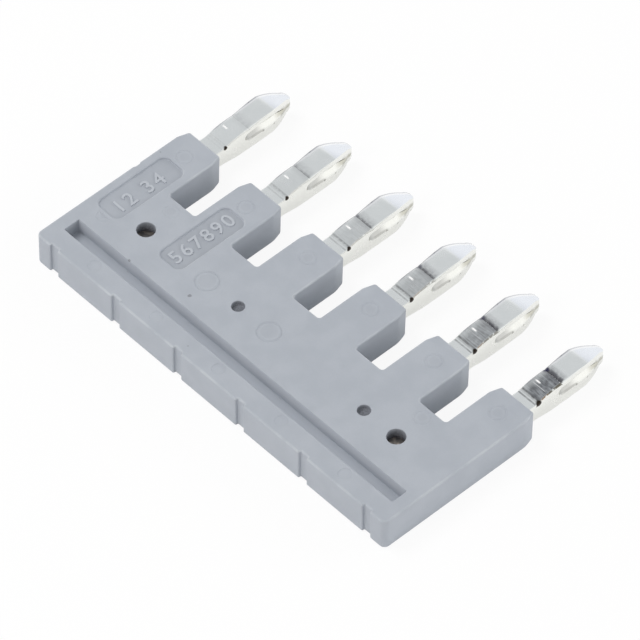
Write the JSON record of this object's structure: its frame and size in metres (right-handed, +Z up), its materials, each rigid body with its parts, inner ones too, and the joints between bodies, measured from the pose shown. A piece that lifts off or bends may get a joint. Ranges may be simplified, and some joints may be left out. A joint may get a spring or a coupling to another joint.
{
  "type": "comb jumper bridge",
  "caption": "Flat comb jumper: a grey moulded back with a marker groove and blunt teeth, each carrying a split tin-plated spring prong that bridges neighbouring terminal blocks.",
  "frame": {"origin": "middle of the bounding box, on the flat underside", "axes": "+X along the row of poles, +Y from the grooved back edge to the prong tips, +Z up out of the grooved face"},
  "size_m": [0.029, 0.0182, 0.0023],
  "materials": {
    "nylon": "satin light grey moulding",
    "tinned_copper": "bright tin plating on copper"
  },
  "bodies": {
    "root": {"insulating_body": "nylon", "contact_comb": "tinned_copper"}
  },
  "joints": []
}
